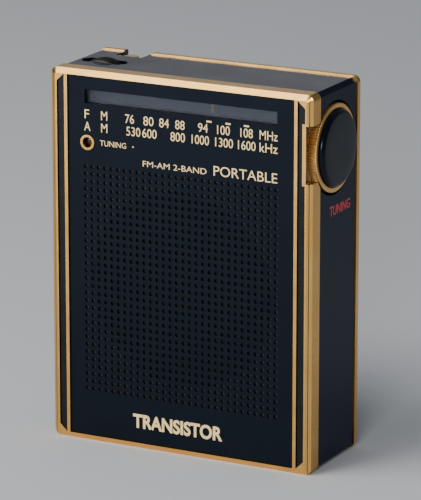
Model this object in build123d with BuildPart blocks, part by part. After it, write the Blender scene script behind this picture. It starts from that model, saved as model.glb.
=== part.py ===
"""Transistor pocket radio with a side tuning knob, dial cord, loudspeaker and rod antenna.

Millimetres. +X to the right, -Y towards the front, +Z up. The origin is on the surface
that the radio stands on, at the middle of its width and depth.
"""

import os
from math import pi

from build123d import *

os.makedirs("parts", exist_ok=True)

# ---- driving dimensions ----------------------------------------------------------------
WIDTH = 66.6
HEIGHT = 88.0
DEPTH = 25.0

FIT_GAP = 0.10          # between pieces that are pressed or glued together
RUN_GAP = 0.06          # radial clearance of a shaft in its bearing
BODY_GAP = 0.35         # between pieces that move past each other

BEZEL_BEVEL_DEPTH = 1.3
BEZEL_BEVEL_SIDE = 0.7
BEZEL_BAND = 3.1
BEZEL_CORNER = 1.6
BEZEL_WALL = 1.0
LIP_WIDTH = 1.0
RIB_INNER_X = 28.9
RIB_WIDTH = 0.8
INLAY_CUT = 1.8         # cut corner of the inlay bars

PANEL_RECESS = 0.4
PANEL_THICK = 0.6
INNER_FRAME_THICK = 1.2

CASE_WALL = 1.5
CASE_INSET = 0.3        # the gold bands stand this much proud of the black case
CASE_SHADOW_GAP = 0.55  # dark joint between bezel and case
CASE_BEVEL = 1.0
REAR_BAND = 1.8
REAR_BAND_WALL = 1.1

WINDOW_HALF_LENGTH = 24.5
WINDOW_LOW_Z = 80.3
WINDOW_HEIGHT = 3.2
WINDOW_RECESS = 1.3
TUNNEL_WALL = 0.6
LENS_THICK = 2.5
NEEDLE_THICK = 0.6
NEEDLE_WIDTH = 0.7
SCALE_THICK = 0.5

HOLE_R = 0.48
HOLE_PITCH_X = 1.68
HOLE_PITCH_Z = 1.763
HOLE_COLUMNS = 30
HOLE_ROWS = 31
GRILLE_Z = 39.1

LED_X = -23.8
LED_Z = 71.2
LED_RING_R = 1.78
LED_BORE_R = 1.25

KNOB_R = 10.2
KNOB_Y = -0.4
KNOB_Z = 73.8
KNOB_RING_THICK = 2.1
KNOB_CAP_R = 8.9
KNOB_CAP_THICK = 1.2
KNOB_TEETH = 96
KNOB_RECESS_R = 10.8
KNOB_RECESS_DEPTH = 2.5
NOTCH_Z = 74.4
NOTCH_HALF = 6.6        # half height of the bezel notch beside the knob
NOTCH_LIP = 0.9

CORD_R = 0.25
CORD_DRUM_R = 8.7       # to the floor of the groove
CORD_PULLEY_R = 0.9     # to the floor of the groove
PULLEY_THICK = 1.2
PULLEY_PIN_R = 0.45

WHEEL_X = -25.6
WHEEL_R = 6.5
WHEEL_PROUD = 0.8
WHEEL_THICK = 3.5
WHEEL_Y = -0.7
WHEEL_TEETH = 48
WHEEL_SLOT = 11.6

SPEAKER_R = 24.5
SPEAKER_DEPTH = 11.5
MAGNET_R = 11.0
MAGNET_THICK = 4.0

CELL_R = 5.1
CELL_LENGTH = 44.5
CELL_Y = 5.2
CELL_LOW_Z = 7.8
CELL_PITCH = 10.8

BOARD_Y = 4.0
BOARD_THICK = 1.2

MAST_X = -23.6
MAST_Y = 8.4
MAST_R = 2.0
MAST_WALL = 0.25
MAST_GAP = 0.05
MAST_SECTION = 58.0
TIP_R = 1.75

JACK_Z = 50.0
JACK_R = 1.8
JACK_DEPTH = 12.0
BAND_Z = 34.0
BAND_TRAVEL = 3.0

SCREW_R = 0.8

# ---- places worked out from them -----------------------------------------------------
FRONT_Y = -DEPTH / 2
BACK_Y = DEPTH / 2
BEVEL_Y = FRONT_Y + BEZEL_BEVEL_DEPTH
BEZEL_BACK_Y = BEVEL_Y + BEZEL_BAND
CASE_FRONT_Y = BEZEL_BACK_Y + CASE_SHADOW_GAP
CASE_BACK_Y = BACK_Y - REAR_BAND
PANEL_Y = FRONT_Y + PANEL_RECESS
PANEL_BACK_Y = PANEL_Y + PANEL_THICK
INNER_Y = PANEL_BACK_Y
INNER_BACK_Y = INNER_Y + INNER_FRAME_THICK
LIP_HALF_W = WIDTH / 2 - BEZEL_BEVEL_SIDE
LIP_INNER_X = LIP_HALF_W - LIP_WIDTH
LIP_LOW_Z = BEZEL_BEVEL_SIDE + LIP_WIDTH - 0.4
LIP_HIGH_Z = HEIGHT - LIP_LOW_Z
LIP_MID_Z = HEIGHT / 2
RIB_OUTER_X = RIB_INNER_X + RIB_WIDTH
CASE_HALF_W = WIDTH / 2 - CASE_INSET
CASE_INNER_X = CASE_HALF_W - CASE_WALL
CASE_LOW_Z = 0.0
CASE_HIGH_Z = HEIGHT - CASE_INSET
CASE_INNER_LOW_Z = CASE_LOW_Z + CASE_WALL
CASE_INNER_HIGH_Z = CASE_HIGH_Z - CASE_WALL
CASE_MID_Z = (CASE_LOW_Z + CASE_HIGH_Z) / 2
CASE_INNER_MID_Z = (CASE_INNER_LOW_Z + CASE_INNER_HIGH_Z) / 2
WINDOW_Z = WINDOW_LOW_Z + WINDOW_HEIGHT / 2
LENS_Y = PANEL_Y + WINDOW_RECESS
LENS_BACK_Y = LENS_Y + LENS_THICK
NEEDLE_Y = LENS_BACK_Y + BODY_GAP
NEEDLE_BACK_Y = NEEDLE_Y + NEEDLE_THICK
SCALE_Y = NEEDLE_BACK_Y + BODY_GAP
KNOB_RING_X = WIDTH / 2 + 0.1 - KNOB_RING_THICK
KNOB_FACE_X = KNOB_RING_X + KNOB_RING_THICK
KNOB_WALL_OUT_X = WIDTH / 2 - KNOB_RECESS_DEPTH
KNOB_WALL_THICK = 1.2
KNOB_WALL_IN_X = KNOB_WALL_OUT_X - KNOB_WALL_THICK
NOTCH_X = LIP_INNER_X + 0.2
NOTCH_LIP_X = NOTCH_X - NOTCH_LIP
DRUM_THICK = 2.2
DRUM_X = KNOB_WALL_IN_X - BODY_GAP - DRUM_THICK
CORD_RUN_R = CORD_DRUM_R + BODY_GAP / 5 + CORD_R
CORD_X = DRUM_X + DRUM_THICK / 2
CORD_Y = KNOB_Y - CORD_RUN_R
PULLEY_RUN_R = CORD_PULLEY_R + BODY_GAP / 5 + CORD_R
PULLEY_RIGHT_X = CORD_X - PULLEY_RUN_R
PULLEY_LEFT_X = -WINDOW_HALF_LENGTH - 2.8
CLIP_BODY = 1.2         # side of the square clip that grips the cord
CORD_TOP_Z = WINDOW_LOW_Z + WINDOW_HEIGHT + TUNNEL_WALL + 0.3 + CLIP_BODY / 2
CORD_LOW_Z = GRILLE_Z + SPEAKER_R + 2.6
WHEEL_Z = CASE_HIGH_Z + WHEEL_PROUD - WHEEL_R
SPEAKER_Y = INNER_BACK_Y
SPEAKER_BACK_Y = SPEAKER_Y + SPEAKER_DEPTH - MAGNET_THICK
BOARD_BACK_Y = BOARD_Y + BOARD_THICK
CELL_HIGH_Z = CELL_LOW_Z + CELL_PITCH
NEEDLE_X = 6.2


def front_plane(y):
    """Plane seen from the front: local x to the right, local y up, normal towards the front."""
    return Plane(origin=(0, y, 0), x_dir=(1, 0, 0), z_dir=(0, -1, 0))


def side_plane(x):
    """Plane seen from the right: local x to the back, local y up, normal to the right."""
    return Plane(origin=(x, 0, 0), x_dir=(0, 1, 0), z_dir=(1, 0, 0))


def finish(name, part, colour):
    """Label a finished piece, colour it and write its STEP file."""
    part.label = name
    part.color = Color(*colour)
    export_step(part, f"parts/{name}.step")


GOLD = (0.80, 0.66, 0.42)
BLACK = (0.03, 0.03, 0.04)
STEEL = (0.72, 0.73, 0.75)
BRASS = (0.78, 0.62, 0.30)
GREEN = (0.10, 0.30, 0.16)
AMBER = (0.60, 0.25, 0.05)

# ---- front bezel: gold-plated moulding with two ribs and the knob notch ----------------
def inlay_outline(side, gap):
    """Corners of one inlay bar, cut at its outer ends and stepped in beside the knob."""
    low, high = LIP_LOW_Z + gap, LIP_HIGH_Z - gap
    inner, outer = RIB_OUTER_X + gap, LIP_INNER_X - gap
    points = [(inner, low), (outer, low + INLAY_CUT)]
    if side > 0:
        step = NOTCH_LIP_X - gap
        points += [(outer, NOTCH_Z - NOTCH_HALF - NOTCH_LIP / 2 - gap)]
        points += [(step, NOTCH_Z - NOTCH_HALF - NOTCH_LIP / 2 - gap)]
        points += [(step, NOTCH_Z + NOTCH_HALF + NOTCH_LIP / 2 + gap)]
        points += [(outer, NOTCH_Z + NOTCH_HALF + NOTCH_LIP / 2 + gap)]
    points += [(outer, high - INLAY_CUT), (inner, high)]
    return [(side * x, z) for x, z in points]


with BuildPart() as front_bezel:
    with BuildSketch(front_plane(BEZEL_BACK_Y)):
        with Locations((0, LIP_MID_Z)):
            RectangleRounded(WIDTH, HEIGHT, BEZEL_CORNER)
    extrude(amount=BEZEL_BAND + BEZEL_BEVEL_DEPTH)
    rim = front_bezel.faces().sort_by(Axis.Y)[0].edges()
    chamfer(rim, length=BEZEL_BEVEL_DEPTH, length2=BEZEL_BEVEL_SIDE,
            reference=front_bezel.faces().sort_by(Axis.Y)[0])
    # hollow behind the lip
    with BuildSketch(front_plane(BEZEL_BACK_Y)):
        with Locations((0, LIP_MID_Z)):
            Rectangle(WIDTH - 2 * BEZEL_WALL, HEIGHT - 2 * BEZEL_WALL)
    extrude(amount=BEZEL_BACK_Y - PANEL_BACK_Y, mode=Mode.SUBTRACT)
    # opening for the panel between the ribs
    with BuildSketch(front_plane(FRONT_Y)):
        with Locations((0, LIP_MID_Z)):
            Rectangle(2 * RIB_INNER_X, LIP_HIGH_Z - LIP_LOW_Z)
        for side in (-1, 1):
            with BuildLine():
                Polyline(*inlay_outline(side, 0), close=True)
            make_face()
    extrude(amount=-DEPTH / 2, mode=Mode.SUBTRACT)
    # notch beside the knob, with a thin lip round it
    with BuildSketch(front_plane(FRONT_Y)):
        with Locations(((NOTCH_X + NOTCH_LIP_X) / 2, NOTCH_Z)):
            Rectangle(NOTCH_LIP, 2 * NOTCH_HALF + NOTCH_LIP)
        for end in (-1, 1):
            z = NOTCH_Z + end * (NOTCH_HALF + NOTCH_LIP / 4)
            with Locations(((NOTCH_X + LIP_HALF_W) / 2, z)):
                Rectangle(LIP_HALF_W - NOTCH_X, NOTCH_LIP / 2)
    extrude(amount=-(BEZEL_BACK_Y - FRONT_Y))
    with BuildSketch(front_plane(FRONT_Y - 1)):
        with Locations(((NOTCH_X + WIDTH) / 2, NOTCH_Z)):
            Rectangle(WIDTH - NOTCH_X, 2 * NOTCH_HALF)
    extrude(amount=-(BEZEL_BACK_Y - FRONT_Y + 2), mode=Mode.SUBTRACT)
    with BuildSketch(side_plane(KNOB_WALL_OUT_X)):
        with Locations((KNOB_Y, KNOB_Z)):
            Circle(KNOB_RECESS_R)
    extrude(amount=WIDTH, mode=Mode.SUBTRACT)
finish("front_bezel", front_bezel.part, GOLD)

# ---- perforated front panel -------------------------------------------------------------
PANEL_HALF_W = RIB_INNER_X - FIT_GAP
PANEL_LOW_Z = LIP_LOW_Z + FIT_GAP
PANEL_HIGH_Z = LIP_HIGH_Z - FIT_GAP
with BuildPart() as front_panel:
    with BuildSketch(front_plane(PANEL_BACK_Y)):
        with Locations((0, (PANEL_LOW_Z + PANEL_HIGH_Z) / 2)):
            Rectangle(2 * PANEL_HALF_W, PANEL_HIGH_Z - PANEL_LOW_Z)
        with Locations((0, WINDOW_Z)):
            Rectangle(2 * WINDOW_HALF_LENGTH, WINDOW_HEIGHT, mode=Mode.SUBTRACT)
        with Locations((LED_X, LED_Z)):
            Circle(LED_RING_R + FIT_GAP, mode=Mode.SUBTRACT)
        with Locations((0, GRILLE_Z)):
            with GridLocations(HOLE_PITCH_X, HOLE_PITCH_Z, HOLE_COLUMNS, HOLE_ROWS):
                Circle(HOLE_R, mode=Mode.SUBTRACT)
    extrude(amount=PANEL_THICK)
finish("front_panel", front_panel.part, BLACK)

for side, name in ((-1, "inlay_left"), (1, "inlay_right")):
    with BuildPart() as inlay:
        with BuildSketch(front_plane(PANEL_BACK_Y)):
            with BuildLine():
                Polyline(*inlay_outline(side, FIT_GAP), close=True)
            make_face()
        extrude(amount=PANEL_THICK)
    finish(name, inlay.part, BLACK)

# ---- inner front frame: window tunnel, pulley pins, speaker seat, case bosses -----------
FRAME_HALF_W = WIDTH / 2 - BEZEL_WALL - FIT_GAP
FRAME_LOW_Z = BEZEL_WALL + FIT_GAP
FRAME_HIGH_Z = HEIGHT - BEZEL_WALL - FIT_GAP
PULLEY_TOP_Z = CORD_TOP_Z - PULLEY_RUN_R
PULLEY_LOW_Z = CORD_LOW_Z + PULLEY_RUN_R
PULLEY_PLACES = [
    (PULLEY_LEFT_X, PULLEY_TOP_Z),
    (PULLEY_RIGHT_X, PULLEY_TOP_Z),
    (PULLEY_RIGHT_X, PULLEY_LOW_Z),
    (PULLEY_LEFT_X, PULLEY_LOW_Z),
]
PULLEY_Y = CORD_Y - PULLEY_THICK / 2
CLIP_THICK = 0.4
CLIP_Y = PULLEY_Y + PULLEY_THICK + BODY_GAP / 2
PIN_END_Y = CLIP_Y + CLIP_THICK + 0.3
BOSS_R = 2.0
BOSS_PLACES = [(-29.4, 5.4), (29.4, 5.4), (-28.6, 58.6), (28.6, 58.6)]
BOSS_BACK_Y = CASE_BACK_Y - 0.2
SPEAKER_OPENING_R = SPEAKER_R - 1.6
TUNNEL_HALF_X = WINDOW_HALF_LENGTH + TUNNEL_WALL

with BuildPart() as front_frame:
    with BuildSketch(front_plane(INNER_BACK_Y)):
        with Locations((0, LIP_MID_Z)):
            Rectangle(2 * FRAME_HALF_W, FRAME_HIGH_Z - FRAME_LOW_Z)
        with Locations(((NOTCH_LIP_X - FIT_GAP + WIDTH) / 2, NOTCH_Z)):
            Rectangle(WIDTH - NOTCH_LIP_X + FIT_GAP, 2 * (NOTCH_HALF + NOTCH_LIP), mode=Mode.SUBTRACT)
        with Locations((0, GRILLE_Z)):
            Circle(SPEAKER_OPENING_R, mode=Mode.SUBTRACT)
        with Locations((LED_X, LED_Z)):
            Circle(LED_RING_R + FIT_GAP, mode=Mode.SUBTRACT)
    extrude(amount=INNER_FRAME_THICK)
    with BuildSketch(front_plane(LENS_BACK_Y)):
        with Locations((0, WINDOW_Z)):
            Rectangle(2 * TUNNEL_HALF_X, WINDOW_HEIGHT + 2 * TUNNEL_WALL)
    extrude(amount=LENS_BACK_Y - INNER_BACK_Y)
    with BuildSketch(front_plane(LENS_BACK_Y)):
        with Locations((0, WINDOW_Z)):
            Rectangle(2 * WINDOW_HALF_LENGTH, WINDOW_HEIGHT)
    extrude(amount=LENS_BACK_Y - INNER_Y, mode=Mode.SUBTRACT)
    with BuildSketch(front_plane(PIN_END_Y)):
        with Locations(*PULLEY_PLACES):
            Circle(PULLEY_PIN_R)
    extrude(amount=PIN_END_Y - INNER_BACK_Y)
    with BuildSketch(front_plane(BOSS_BACK_Y)):
        with Locations(*BOSS_PLACES):
            Circle(BOSS_R)
    extrude(amount=BOSS_BACK_Y - INNER_BACK_Y)
    with BuildSketch(front_plane(BOSS_BACK_Y)):
        with Locations(*BOSS_PLACES):
            Circle(SCREW_R)
    extrude(amount=8, mode=Mode.SUBTRACT)
    # two ledges carry the scale plate behind the needle
    for side in (-1, 1):
        ledge_x = side * (WINDOW_HALF_LENGTH + TUNNEL_WALL / 2)
        with BuildSketch(front_plane(SCALE_Y)):
            with Locations((ledge_x, WINDOW_Z)):
                Rectangle(TUNNEL_WALL, WINDOW_HEIGHT)
        extrude(amount=SCALE_Y - LENS_BACK_Y)
finish("front_frame", front_frame.part, BLACK)

with BuildPart() as grille_screen:
    with BuildSketch(front_plane(PANEL_BACK_Y + 0.3)):
        with Locations((0, GRILLE_Z)):
            Circle(SPEAKER_OPENING_R - FIT_GAP)
    extrude(amount=0.3)
finish("grille_screen", grille_screen.part, BLACK)

# ---- dial window, scale plate and pointer ---------------------------------------------
with BuildPart() as dial_window:
    with BuildSketch(front_plane(LENS_BACK_Y)):
        with Locations((0, WINDOW_Z)):
            Rectangle(2 * WINDOW_HALF_LENGTH - FIT_GAP, WINDOW_HEIGHT - FIT_GAP)
    extrude(amount=LENS_THICK)
finish("dial_window", dial_window.part, STEEL)

SCALE_LOW_Z = WINDOW_LOW_Z - 0.6
SCALE_HIGH_Z = WINDOW_LOW_Z + WINDOW_HEIGHT + 0.8
with BuildPart() as dial_scale_plate:
    with BuildSketch(front_plane(SCALE_Y + SCALE_THICK)):
        with Locations((0, (SCALE_LOW_Z + SCALE_HIGH_Z) / 2)):
            Rectangle(2 * TUNNEL_HALF_X, SCALE_HIGH_Z - SCALE_LOW_Z)
    extrude(amount=SCALE_THICK)
finish("dial_scale_plate", dial_scale_plate.part, BLACK)

CLIP_LENGTH = 4.0
CORD_BORE_R = CORD_R + 0.06
with BuildPart() as dial_pointer:
    with BuildSketch(side_plane(NEEDLE_X - CLIP_LENGTH / 2)):
        with Locations((CORD_Y, CORD_TOP_Z)):
            Rectangle(CLIP_BODY, CLIP_BODY)
            Circle(CORD_BORE_R, mode=Mode.SUBTRACT)
    extrude(amount=CLIP_LENGTH)
    clip_low_z = CORD_TOP_Z - CLIP_BODY / 2
    with BuildSketch(side_plane(NEEDLE_X - NEEDLE_WIDTH / 2)):
        with Locations(((CORD_Y + CLIP_BODY / 2 + NEEDLE_BACK_Y) / 2, clip_low_z + 0.3)):
            Rectangle(NEEDLE_BACK_Y - CORD_Y - CLIP_BODY / 2, 0.6)
        with Locations(((NEEDLE_Y + NEEDLE_BACK_Y) / 2, (clip_low_z + 0.6 + SCALE_LOW_Z) / 2)):
            Rectangle(NEEDLE_THICK, clip_low_z + 0.6 - SCALE_LOW_Z)
    extrude(amount=NEEDLE_WIDTH)
finish("dial_pointer", dial_pointer.part, AMBER)

# ---- dial cord, pulleys and their clips -------------------------------------------------
LOOP_LEFT_X = PULLEY_LEFT_X - PULLEY_RUN_R
LOOP_RIGHT_X = PULLEY_RIGHT_X + PULLEY_RUN_R
with BuildPart() as dial_cord:
    with BuildLine(front_plane(CORD_Y)) as loop_line:
        corners = [
            (LOOP_LEFT_X, CORD_LOW_Z),
            (LOOP_RIGHT_X, CORD_LOW_Z),
            (LOOP_RIGHT_X, CORD_TOP_Z),
            (LOOP_LEFT_X, CORD_TOP_Z),
        ]
        FilletPolyline(*corners, radius=PULLEY_RUN_R, close=True)
    with BuildSketch(side_plane(0)):
        with Locations((CORD_Y, CORD_TOP_Z)):
            Circle(CORD_R)
    sweep(path=loop_line.wires()[0])
    # the turn round the drum lies beside the upright run
    with BuildSketch(Plane(origin=(CORD_X - CORD_R * 1.6, KNOB_Y, KNOB_Z), x_dir=(1, 0, 0), z_dir=(0, 1, 0))):
        with Locations((0, CORD_RUN_R)):
            Circle(CORD_R)
    revolve(axis=Axis((CORD_X, KNOB_Y, KNOB_Z), (1, 0, 0)), revolution_arc=360)
finish("dial_cord", dial_cord.part, BRASS)

PULLEY_FLANGE_R = CORD_PULLEY_R + 0.5
for number, (x, z) in enumerate(PULLEY_PLACES, start=1):
    with BuildPart() as pulley:
        with BuildSketch(Plane(origin=(x, 0, z), x_dir=(1, 0, 0), z_dir=(0, 0, 1))):
            with BuildLine():
                low, high = PULLEY_Y, PULLEY_Y + PULLEY_THICK
                groove = CORD_R + 0.12
                Polyline(
                    (PULLEY_PIN_R + RUN_GAP, low),
                    (PULLEY_FLANGE_R, low),
                    (CORD_PULLEY_R, CORD_Y - groove),
                    (CORD_PULLEY_R, CORD_Y + groove),
                    (PULLEY_FLANGE_R, high),
                    (PULLEY_PIN_R + RUN_GAP, high),
                    close=True,
                )
            make_face()
        revolve(axis=Axis((x, 0, z), (0, 1, 0)), revolution_arc=360)
    finish(f"cord_pulley_{number}", pulley.part, BRASS)

with BuildPart() as pulley_clips:
    with BuildSketch(front_plane(CLIP_Y + CLIP_THICK)):
        with Locations(*PULLEY_PLACES):
            Circle(1.2)
            Circle(PULLEY_PIN_R, mode=Mode.SUBTRACT)
    extrude(amount=CLIP_THICK)
finish("pulley_clips", pulley_clips.part, STEEL)

# ---- tuning knob: knurled ring with a hub, glued cap, screw --------------------------------
HUB_R = 3.0
HUB_BORE_R = HUB_R + RUN_GAP + 0.02
SHAFT_R = 2.0
TOOTH_DEPTH = 0.45
with BuildPart() as knob_ring:
    with BuildSketch(side_plane(KNOB_RING_X)):
        with Locations((KNOB_Y, KNOB_Z)):
            Circle(KNOB_R)
    extrude(amount=KNOB_RING_THICK)
    with BuildSketch(side_plane(KNOB_RING_X)):
        with Locations((KNOB_Y, KNOB_Z)):
            with PolarLocations(KNOB_R, KNOB_TEETH):
                Rectangle(2 * TOOTH_DEPTH, pi * KNOB_R / KNOB_TEETH)
    extrude(amount=KNOB_RING_THICK - 0.35, mode=Mode.SUBTRACT)
    with BuildSketch(side_plane(DRUM_X + DRUM_THICK)):
        with Locations((KNOB_Y, KNOB_Z)):
            Circle(HUB_R)
    extrude(amount=KNOB_RING_X - DRUM_X - DRUM_THICK)
    with BuildSketch(side_plane(DRUM_X)):
        with Locations((KNOB_Y, KNOB_Z)):
            Circle(SHAFT_R)
    extrude(amount=KNOB_FACE_X - DRUM_X, mode=Mode.SUBTRACT)
    with BuildSketch(side_plane(KNOB_FACE_X - 1.2)):
        with Locations((KNOB_Y, KNOB_Z)):
            Circle(KNOB_CAP_R + FIT_GAP)
    extrude(amount=1.2, mode=Mode.SUBTRACT)
finish("knob_ring", knob_ring.part, GOLD)

with BuildPart() as knob_cap:
    with BuildSketch(side_plane(KNOB_FACE_X - 0.4)):
        with Locations((KNOB_Y, KNOB_Z)):
            Circle(KNOB_CAP_R)
    extrude(amount=KNOB_CAP_THICK + 0.4)
    fillet(knob_cap.faces().sort_by(Axis.X)[-1].edges(), radius=0.8)
    with BuildSketch(side_plane(KNOB_FACE_X - 1.2)):
        with Locations((KNOB_Y, KNOB_Z)):
            Circle(KNOB_CAP_R)
            Circle(KNOB_CAP_R - 1.2, mode=Mode.SUBTRACT)
    extrude(amount=0.8)
finish("knob_cap", knob_cap.part, BLACK)

with BuildPart() as knob_screw:
    with BuildSketch(side_plane(KNOB_FACE_X - 1.2)):
        with Locations((KNOB_Y, KNOB_Z)):
            Circle(2.6)
            Rectangle(4.0, 0.5, mode=Mode.SUBTRACT)
    extrude(amount=0.7)
    with BuildSketch(side_plane(KNOB_FACE_X - 1.2)):
        with Locations((KNOB_Y, KNOB_Z)):
            Circle(2.6)
    extrude(amount=0.2)
finish("knob_screw", knob_screw.part, STEEL)

DRUM_FLANGE_R = CORD_RUN_R + 0.35
with BuildPart() as dial_drum:
    with BuildSketch(Plane(origin=(0, KNOB_Y, KNOB_Z), x_dir=(1, 0, 0), z_dir=(0, -1, 0))):
        with BuildLine():
            Polyline(
                (DRUM_X, SHAFT_R),
                (DRUM_X, DRUM_FLANGE_R),
                (DRUM_X + 0.4, DRUM_FLANGE_R),
                (DRUM_X + 0.4, CORD_DRUM_R),
                (DRUM_X + DRUM_THICK - 0.4, CORD_DRUM_R),
                (DRUM_X + DRUM_THICK - 0.4, DRUM_FLANGE_R),
                (DRUM_X + DRUM_THICK, DRUM_FLANGE_R),
                (DRUM_X + DRUM_THICK, SHAFT_R),
                close=True,
            )
        make_face()
    revolve(axis=Axis((0, KNOB_Y, KNOB_Z), (1, 0, 0)), revolution_arc=360)
finish("dial_drum", dial_drum.part, STEEL)

# ---- tuning capacitor on its bracket, with its shaft --------------------------------------
CAPACITOR_SIDE = 11.6
CAPACITOR_DEPTH = 9.0
CAPACITOR_X = DRUM_X - 1.6
SHAFT_START_X = CAPACITOR_X - 4.0
with BuildPart() as tuning_shaft:
    with BuildSketch(side_plane(SHAFT_START_X)):
        with Locations((KNOB_Y, KNOB_Z)):
            Circle(SHAFT_R)
    extrude(amount=KNOB_FACE_X - 1.2 - SHAFT_START_X)
finish("tuning_shaft", tuning_shaft.part, BRASS)

with BuildPart() as tuning_capacitor:
    with BuildSketch(side_plane(CAPACITOR_X - CAPACITOR_DEPTH)):
        with Locations((KNOB_Y, KNOB_Z)):
            Rectangle(CAPACITOR_SIDE, CAPACITOR_SIDE)
    extrude(amount=CAPACITOR_DEPTH)
    fillet(tuning_capacitor.edges().filter_by(Axis.X), radius=0.8)
    with BuildSketch(side_plane(CAPACITOR_X)):
        with Locations((KNOB_Y, KNOB_Z)):
            Circle(SHAFT_R + 1.4)
    extrude(amount=0.8)
    with BuildSketch(side_plane(SHAFT_START_X - 0.2)):
        with Locations((KNOB_Y, KNOB_Z)):
            Circle(SHAFT_R + RUN_GAP)
    extrude(amount=KNOB_FACE_X - SHAFT_START_X, mode=Mode.SUBTRACT)
finish("tuning_capacitor", tuning_capacitor.part, STEEL)

# ---- volume thumbwheel, potentiometer and screw ------------------------------------------
POT_R = 4.0
POT_SHAFT_R = 1.5
WHEEL_FRONT_Y = WHEEL_Y - WHEEL_THICK / 2
WHEEL_BACK_Y = WHEEL_Y + WHEEL_THICK / 2
POT_FRONT_Y = WHEEL_BACK_Y + BODY_GAP
with BuildPart() as volume_wheel:
    with BuildSketch(front_plane(WHEEL_BACK_Y)):
        with Locations((WHEEL_X, WHEEL_Z)):
            Circle(WHEEL_R)
            with PolarLocations(WHEEL_R, WHEEL_TEETH):
                Rectangle(0.6, pi * WHEEL_R / WHEEL_TEETH, mode=Mode.SUBTRACT)
            Circle(POT_SHAFT_R, mode=Mode.SUBTRACT)
    extrude(amount=WHEEL_THICK)
    with BuildSketch(front_plane(WHEEL_FRONT_Y)):
        with Locations((WHEEL_X, WHEEL_Z)):
            Circle(WHEEL_R - 1.4)
            Circle(2.6, mode=Mode.SUBTRACT)
    extrude(amount=-1.2, mode=Mode.SUBTRACT)
finish("volume_wheel", volume_wheel.part, BLACK)

with BuildPart() as volume_screw:
    with BuildSketch(front_plane(WHEEL_FRONT_Y)):
        with Locations((WHEEL_X, WHEEL_Z)):
            Circle(2.2)
            Rectangle(3.4, 0.5, mode=Mode.SUBTRACT)
    extrude(amount=0.6)
    with BuildSketch(front_plane(WHEEL_FRONT_Y)):
        with Locations((WHEEL_X, WHEEL_Z)):
            Circle(2.2)
    extrude(amount=0.2)
finish("volume_screw", volume_screw.part, STEEL)

with BuildPart() as volume_shaft:
    with BuildSketch(front_plane(POT_FRONT_Y + 2.0)):
        with Locations((WHEEL_X, WHEEL_Z)):
            Circle(POT_SHAFT_R)
    extrude(amount=POT_FRONT_Y + 2.0 - WHEEL_FRONT_Y)
finish("volume_shaft", volume_shaft.part, BRASS)

with BuildPart() as volume_pot:
    with BuildSketch(front_plane(BOARD_Y)):
        with Locations((WHEEL_X, WHEEL_Z)):
            Circle(POT_R)
    extrude(amount=BOARD_Y - POT_FRONT_Y)
    with BuildSketch(front_plane(POT_FRONT_Y + 2.2)):
        with Locations((WHEEL_X, WHEEL_Z)):
            Circle(POT_SHAFT_R + RUN_GAP)
    extrude(amount=2.4, mode=Mode.SUBTRACT)
finish("volume_pot", volume_pot.part, STEEL)

# ---- tuning lamp in its gold ring ----------------------------------------------------------
with BuildPart() as lamp_ring:
    with BuildSketch(front_plane(INNER_BACK_Y)):
        with Locations((LED_X, LED_Z)):
            Circle(LED_RING_R)
            Circle(LED_BORE_R, mode=Mode.SUBTRACT)
    extrude(amount=INNER_BACK_Y - PANEL_Y + 0.25)
finish("lamp_ring", lamp_ring.part, GOLD)

LAMP_R = LED_BORE_R - FIT_GAP / 2
LEAD_OFFSET = 0.65
with BuildPart() as tuning_lamp:
    with BuildSketch(front_plane(INNER_BACK_Y + 1.0)):
        with Locations((LED_X, LED_Z)):
            Circle(LAMP_R)
    extrude(amount=INNER_BACK_Y + 1.0 - PANEL_Y - 0.9)
    fillet(tuning_lamp.faces().sort_by(Axis.Y)[0].edges(), radius=0.8)
    with BuildSketch(front_plane(INNER_BACK_Y + 1.0)):
        with Locations((LED_X, LED_Z)):
            Circle(LAMP_R + 0.4)
    extrude(amount=0.8)
    with BuildSketch(front_plane(BOARD_BACK_Y + 0.8)):
        with Locations((LED_X - LEAD_OFFSET, LED_Z), (LED_X + LEAD_OFFSET, LED_Z)):
            Rectangle(0.4, 0.4)
    extrude(amount=BOARD_BACK_Y - 0.2 - INNER_BACK_Y)
finish("tuning_lamp", tuning_lamp.part, AMBER)

# ---- loudspeaker -------------------------------------------------------------------------
BASKET_THICK = 0.8
BASKET_NECK_R = MAGNET_R + 1.0
with BuildPart() as speaker_basket:
    with BuildSketch(Plane.YZ):
        with BuildLine():
            Polyline(
                (SPEAKER_Y, GRILLE_Z + SPEAKER_R - 2.2),
                (SPEAKER_Y, GRILLE_Z + SPEAKER_R),
                (SPEAKER_Y + BASKET_THICK, GRILLE_Z + SPEAKER_R),
                (SPEAKER_Y + BASKET_THICK, GRILLE_Z + SPEAKER_R - 1.2),
                (SPEAKER_Y + 2.2, GRILLE_Z + SPEAKER_R - 1.4),
                (SPEAKER_BACK_Y, GRILLE_Z + BASKET_NECK_R),
                (SPEAKER_BACK_Y, GRILLE_Z + 5.2),
                (SPEAKER_BACK_Y - BASKET_THICK, GRILLE_Z + 5.2),
                (SPEAKER_BACK_Y - BASKET_THICK, GRILLE_Z + BASKET_NECK_R - 0.6),
                (SPEAKER_Y + 1.8, GRILLE_Z + SPEAKER_R - 2.2),
                close=True,
            )
        make_face()
    revolve(axis=Axis((0, 0, GRILLE_Z), (0, 1, 0)), revolution_arc=360)
finish("speaker_basket", speaker_basket.part, STEEL)

with BuildPart() as speaker_magnet:
    with BuildSketch(front_plane(SPEAKER_BACK_Y + MAGNET_THICK)):
        with Locations((0, GRILLE_Z)):
            Circle(MAGNET_R)
    extrude(amount=MAGNET_THICK)
    chamfer(speaker_magnet.faces().sort_by(Axis.Y)[-1].edges(), length=0.6)
    with BuildSketch(front_plane(SPEAKER_BACK_Y)):
        with Locations((0, GRILLE_Z)):
            Circle(4.2)
    extrude(amount=1.6)
finish("speaker_magnet", speaker_magnet.part, STEEL)

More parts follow.
